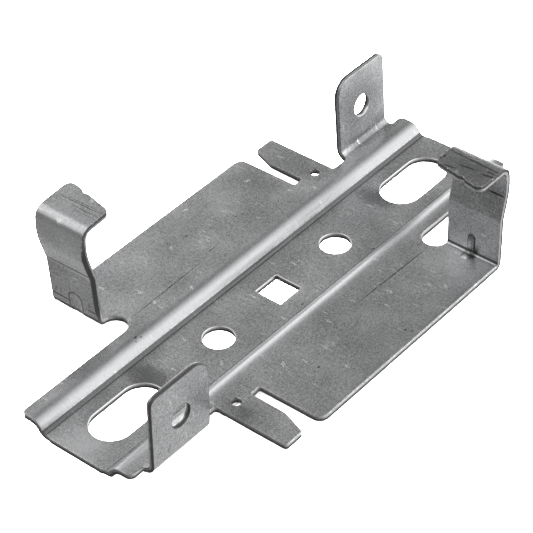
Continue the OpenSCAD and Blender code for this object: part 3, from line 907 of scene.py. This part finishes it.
fine = node(tree, "TexNoise", {
    "Vector": blank_mm(tree, turn=-0.1, scale=(4.0, 0.25, 1)), "Scale": 1.0, "Detail": 2.0,
})
fine, patch = (
    node(tree, "MapRange", {"Value": pattern, "From Min": 0.54, "From Max": 0.68, "To Max": most})
    for pattern, most in ((fine, 0.8), (patch, 0.6))
)
patch = node(tree, "Math", {0: patch, 1: streaks(tree, mm, PATCHES, 0.6)}, operation="MAXIMUM")
off_crest = node(tree, "MapRange", {"Value": crest, "To Min": 1.0, "To Max": 0.35})
scratched = node(tree, "Math", {0: fine, 1: patch}, operation="MULTIPLY")
scratched = node(tree, "Math", {0: scratched, 1: off_crest}, operation="MULTIPLY")
rubbed = node(tree, "Math", {0: scuffs, 1: scratched}, operation="MAXIMUM")

opening, below = (
    node(tree, "Attribute", attribute_name=name, out=2) for name in ("opening", "depth")
)
on_top = node(tree, "Math", {0: below, 1: 0.5}, operation="LESS_THAN")
# A painted highlight along the rims of the openings, on the upper face where the rollover begins.
rim = node(tree, "MapRange", {"Value": below, "From Min": 0.0, "From Max": 0.02})
for share in (opening, on_top):
    rim = node(tree, "Math", {0: rim, 1: share}, operation="MULTIPLY")
print("With scuffs and rims it has", len(tree.nodes))

# %% [markdown]
# The dark marks of the table above come next, with painted shade at the leg's
# crease and at the near bead's foot among them. The grain of the coat frays the
# stains, the mottle breaks the scratches up, and the lines that the die drew are
# whole.

# %% Dark marks
# Dark tint for stains, scratches, die lines and the painted shade among them.
SMUDGE_AND_SHADE = linear("#404040")
broken, ragged = (
    node(tree, "MapRange", {"Value": pattern, "From Min": start, "From Max": stop})
    for pattern, start, stop in ((mottle, 0.36, 0.52), (grain, 0.42, 0.58))
)
marks = 0.0
for rows, frayed, amount in ((STAINS_AND_SHADE, ragged, 0.6), (SCRATCHES, broken, 1.0), (DIE_LINES_AND_CREASE_SHADE, 1.0, 0.85)):
    mark = node(tree, "Math", {0: streaks(tree, mm, rows), 1: frayed}, operation="MULTIPLY")
    mark = node(tree, "Math", {0: mark, 1: amount}, operation="MULTIPLY")
    marks = node(tree, "Math", {0: mark, 1: marks}, operation="MAXIMUM")
print("With the dark marks it has", len(tree.nodes))

# %% [markdown]
# Painted shade lies in dark bands at fixed distances from the middle, where the
# sheet turns: a soft one along each foot of the channel with a darker line beside
# it, broad on the far side and thin on the near one, a fine broken one on the
# flat within, and a dark line in the bend under each leg. Arches of painted shade
# with a round top border each bead: a wide one around its pocket outside and a
# narrow one around it inside.

# %% Painted shade along the bends
CREASE_SHADE = linear("#4c4c4c")
ARCH_HALF, ARCH_SHADE, ARCH_X, ARCH_REACH = 0.19, 0.8, 40.5, 3.2
# How dark the painted shade along each foot of the channel is: more on the far side.
shade_by_side = node(tree, "MapRange", {
    "Value": v, "From Min": -1.0, "From Max": 1.0, "To Min": 0.15, "To Max": 0.6,
})
on_wing = node(tree, "Math", {0: side, 1: LEG_FOOT}, operation="GREATER_THAN")
at_leg = node(tree, "Math", {0: x, 1: v}, operation="MULTIPLY")
at_leg = node(tree, "Math", {0: at_leg, 1: 0.0}, operation="LESS_THAN")
painted_crease_shade = 0.0
for place, middle, half, shares in (
    (side, 10.05, 0.58, (shade_by_side,)), (v, 10.45, 0.4, (0.88,)), (v, -10.72, 0.13, ()),
    (side, 9.4, 0.1, (broken, 0.8)), (across, 37.6, 0.38, (on_wing, at_leg, 0.8)),
):
    band = node(tree, "Math", {0: place, 1: middle, 2: half}, operation="COMPARE")
    for share in shares:
        band = node(tree, "Math", {0: band, 1: share}, operation="MULTIPLY")
    painted_crease_shade = node(tree, "Math", {0: band, 1: painted_crease_shade}, operation="MAXIMUM")

# Arches of painted shade around each bead.
for face, shift, reach, radius, way in (
    (UNDER, 0, 40.9, 2.15, -1), (UNDER, 0, 40.9, 2.15, 1), (0, 0.2, 41.6, 0.9, -1), (0, 0.2, 41.6, 0.9, 1),
):
    middle = face - way * (RIB_Y + UNROLL + shift)
    off = node(tree, "Math", {0: v, 1: middle}, operation="SUBTRACT")
    above = node(tree, "Math", {0: x, 1: way, 2: -reach}, operation="MULTIPLY_ADD")
    above = node(tree, "Math", {0: above, 1: 0.0}, operation="MAXIMUM")
    arch = node(tree, "CombineXYZ", {"X": off, "Y": above})
    arch = node(tree, "VectorMath", {0: arch}, out=1, operation="LENGTH")
    arch = node(tree, "Math", {0: arch, 1: radius, 2: ARCH_HALF}, operation="COMPARE")
    near = node(tree, "Math", {0: x, 1: way * ARCH_X, 2: ARCH_REACH}, operation="COMPARE")
    for share in (near, ARCH_SHADE):
        arch = node(tree, "Math", {0: arch, 1: share}, operation="MULTIPLY")
    painted_crease_shade = node(tree, "Math", {0: arch, 1: painted_crease_shade}, operation="MAXIMUM")
print("With the press lines it has", len(tree.nodes))

# %% [markdown]
# The tints are laid over the zinc one by one. Scuffs and marks lie a little
# lower than the coat, which a fine relief shows, and a broad weak one stands for
# a sheet that is never quite flat.

# %% Finish of the faces
colour = node(tree, "Mix", {0: tone, 6: ZINC_DARK, 7: ZINC_LIGHT}, out=2, data_type="RGBA")
# Laid over the zinc: scuffs and the painted rim highlight, dark marks with some painted shade, and the
# painted shade along the bends.
for share, tint in ((rubbed, SCUFF_AND_RIM_HIGHLIGHT), (rim, SCUFF_AND_RIM_HIGHLIGHT), (marks, SMUDGE_AND_SHADE), (painted_crease_shade, CREASE_SHADE)):
    colour = node(tree, "Mix", {0: share, 6: colour, 7: tint}, out=2, data_type="RGBA")
roughness = node(tree, "MapRange", {"Value": tone, "To Min": 0.28, "To Max": 0.38})
height = node(tree, "Math", {0: grain, 1: mottle}, operation="ADD")
for lower in (rubbed, marks):
    height = node(tree, "Math", {0: height, 1: lower}, operation="SUBTRACT")
relief = node(tree, "Bump", {"Height": bow, "Strength": 1.0, "Distance": 0.8 * MM})
relief = node(tree, "Bump", {
    "Height": height, "Strength": 0.22, "Distance": 0.05 * MM, "Normal": relief,
})
finish_material(tree, colour, roughness, relief, 1.0)
print(plated.name, "has", len(tree.nodes), "nodes")

# %% [markdown]
# ## The cut through the sheet
# The cut shows bare steel under the zinc. Its upper part is the land, burnished
# by the punch and drawn into fine upright lines. Below it the steel tore, which
# leaves a grey like broken iron that mirrors little. On the hooks the edge ends
# in a thin ragged burr, with painted glints of white in points along it. The
# depth attribute tells them apart. The play attribute also picks between a lit
# and a shaded copy of these colours. The cut is painted light where it looks to
# -Y and along the legs and hooks, and half lit on the lugs. It is painted in
# shade on the other sides and in the pilot holes. A painted highlight lines the
# rims of the openings here too, above the land.

# %% Cut edge
# Colours of land, upright lines and fracture, in a shaded and a lit copy: painted shade and light on the
# cut.
CUT_IN_SHADE = [linear(c) for c in ("#8c8c8c", "#686868", "#5c5c5c")]
CUT_IN_LIGHT = [linear(c) for c in ("#d4d4d4", "#a8a8a8", "#6c6c6c")]
# White for painted glints on the burr and for the painted highlight on the rims.
BURR_GLINT_AND_RIM_HIGHLIGHT = linear("#ffffff")

cut_edge, tree = new_material("sheared_steel_edge")
below, much, opening = (
    node(tree, "Attribute", attribute_name=name, out=2) for name in ("depth", "play", "opening")
)
# The play attribute picks between the shaded and the lit copy.
land, upright, fracture = (
    node(tree, "Mix", {0: much, 6: tight, 7: wide}, out=2, data_type="RGBA")
    for tight, wide in zip(CUT_IN_SHADE, CUT_IN_LIGHT)
)
place = node(tree, "TexCoord", out=3)
lines = node(tree, "Mapping", {"Vector": place, "Scale": (3000, 3000, 250)})
lines = node(tree, "TexNoise", {"Vector": lines, "Scale": 1.0, "Detail": 2.0})
ragged = node(tree, "TexNoise", {"Vector": place, "Scale": 1 / (0.8 * MM), "Detail": 3.0})
limit = node(tree, "Math", {0: ragged, 1: 0.4, 2: below}, operation="MULTIPLY_ADD")
torn = node(tree, "MapRange", {"Value": limit, "From Min": TORN + 0.16, "From Max": TORN + 0.26})
burr_glints, points_of_light, on_hook, rim = (
    node(tree, "MapRange", {"Value": value, "From Min": start, "From Max": stop})
    for value, start, stop in (
        (below, 1.36, 1.42), (ragged, 0.56, 0.64), (much, 0.9, 1.0), (below, 0.34, 0.26),
    )
)
for share in (points_of_light, on_hook):
    burr_glints = node(tree, "Math", {0: burr_glints, 1: share}, operation="MULTIPLY")
rim = node(tree, "Math", {0: rim, 1: opening}, operation="MULTIPLY")
# Over the land: upright lines, the fracture, painted glints on the burr and the painted rim highlight.
colour = land
for share, tint in ((lines, upright), (torn, fracture), (burr_glints, BURR_GLINT_AND_RIM_HIGHLIGHT), (rim, BURR_GLINT_AND_RIM_HIGHLIGHT)):
    colour = node(tree, "Mix", {0: share, 6: colour, 7: tint}, out=2, data_type="RGBA")
roughness = node(tree, "MapRange", {"Value": torn, "To Min": 0.3, "To Max": 0.6})
height = node(tree, "Math", {0: lines, 1: ragged}, operation="ADD")
relief = node(tree, "Bump", {"Height": height, "Strength": 0.4, "Distance": 0.04 * MM})
finish_material(tree, colour, roughness, relief, 1.0)

mesh.materials.append(plated)
mesh.materials.append(cut_edge)
ring_of = np.repeat(np.arange(len(EDGE) - 1), rim_n)
in_cut = (EDGE[ring_of, 1] >= LAND_DEPTH) & (EDGE[ring_of, 1] < BURR_DEPTH)
slots = np.concatenate([np.zeros(2 * len(triangles), int), in_cut.astype(int)])
mesh.polygons.foreach_set("material_index", slots.astype(np.int32))
print(int(slots.sum()), "faces in the cut")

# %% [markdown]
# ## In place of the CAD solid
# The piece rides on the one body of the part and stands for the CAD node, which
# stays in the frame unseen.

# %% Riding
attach(bracket, "root")
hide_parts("bracket")

# %% [markdown]
# ## Floor and light
# The photograph has a white ground without an edge and almost no shadow. A wide
# pale floor gives that. The metal does not mirror it, so that its brightness
# can be set by itself. What the metal does mirror is the light: one large soft
# box on the right draws the broad bright band along the channel's far crest, and
# a smaller one on the left lights the bends of the hooks. The room itself is
# dim, with a few soft glows: low behind the part for the near crest and the
# rims, on the right for the far crest's wall, below the table's edge for the
# upright faces, and two small ones overhead for the upper slopes. The floor gets
# a more even and brighter room than the metal mirrors, so its shadows stay as
# pale as those of a product shot.

# %% Studio
span = spaced(-2.5, 2.5, 0.25)
ground = grid(span, span)
n = len(span)
k = (np.arange(n - 1)[:, None] * n + np.arange(n - 1)).ravel()
floor_mesh = bpy.data.meshes.new("pale_floor")
floor_mesh.from_pydata(
    np.column_stack([ground, np.full(len(ground), -0.0001)]).tolist(), [],
    np.column_stack([k, k + 1, k + n + 1, k + n]).tolist(),
)
floor = bpy.data.objects.new("pale_floor", floor_mesh)
bpy.context.scene.collection.objects.link(floor)
paper, tree = new_material("matt_white_paper")
fibres = node(tree, "TexNoise", {"Vector": node(tree, "TexCoord", out=3), "Scale": 900.0})
PAPER = {6: linear("#f6f6f6"), 7: linear("#fafafa")}
colour = node(tree, "Mix", {0: fibres, **PAPER}, out=2, data_type="RGBA")
roughness = node(tree, "MapRange", {"Value": fibres, "To Min": 0.85, "To Max": 0.95})
relief = node(tree, "Bump", {"Height": fibres, "Strength": 0.1, "Distance": 0.1 * MM})
finish_material(tree, colour, roughness, relief, 0.0)
floor_mesh.materials.append(paper)
floor.visible_glossy = False


def soft_light(name, direction, distance, size, radiance):
    """A square area light that looks at the object. Its power in watts is
    radiance * pi * size^2."""
    light = bpy.data.objects.new(name, bpy.data.lights.new(name, "AREA"))
    light.data.shape, light.data.size = "SQUARE", size
    light.data.energy = radiance * math.pi * size * size
    toward = Vector(direction).normalized()
    turn = toward.to_track_quat("Z", "Y").to_matrix().to_4x4()
    light.matrix_world = Matrix.Translation(toward * distance) @ turn
    bpy.context.scene.collection.objects.link(light)


soft_light("right_box", (0.55, -0.70, 0.45), 1.2, 1.2, 0.6)
soft_light("left_box", (-0.32, 0.5, 0.75), 1.2, 1.15, 1.1)
ROOM, FLOOR_ROOM = 0.30, 20.0
# Each glow has a direction, the cosine of the angle off it at which the glow
# begins, the one from which it is full, and a strength.
GLOWS = (
    ((0.55, 0.83, 0.05), 0.80, 0.94, 1.15),
    ((0.55, -0.77, 0.30), 0.36, 0.86, 0.72),
    ((0.55, -0.50, -0.67), 0.10, 0.90, 0.39),
    ((-0.45, 0.50, -0.74), 0.50, 0.95, 0.12),
    ((0.61, 0.61, -0.51), 0.60, 0.92, 1.0),
    ((0.20, 0.65, 0.73), 0.91, 0.99, 0.32),
    ((0.56, -0.22, 0.80), 0.90, 0.99, 0.42),
)
world = bpy.data.worlds.new("room")
world.use_nodes = True
tree = world.node_tree
toward = node(tree, "TexCoord", out=0)
room = ROOM
for direction, start, stop, strength in GLOWS:
    near = node(tree, "VectorMath", {0: toward, 1: direction}, out=1, operation="DOT_PRODUCT")
    glow = node(tree, "MapRange", {
        "Value": near, "From Min": start, "From Max": stop, "To Max": strength,
    }, interpolation_type="SMOOTHSTEP")
    room = node(tree, "Math", {0: glow, 1: room}, operation="ADD")
for_floor = node(tree, "LightPath", out=2)
room = node(tree, "Mix", {0: for_floor, 2: room, 3: FLOOR_ROOM}, data_type="FLOAT")
tree.links.new(room, tree.nodes["Background"].inputs["Strength"])
tree.nodes["Background"].inputs["Color"].default_value = linear("#ffffff")
bpy.context.scene.world = world
bpy.context.scene.view_settings.view_transform = "Standard"
print(len(GLOWS), "glows in the room")
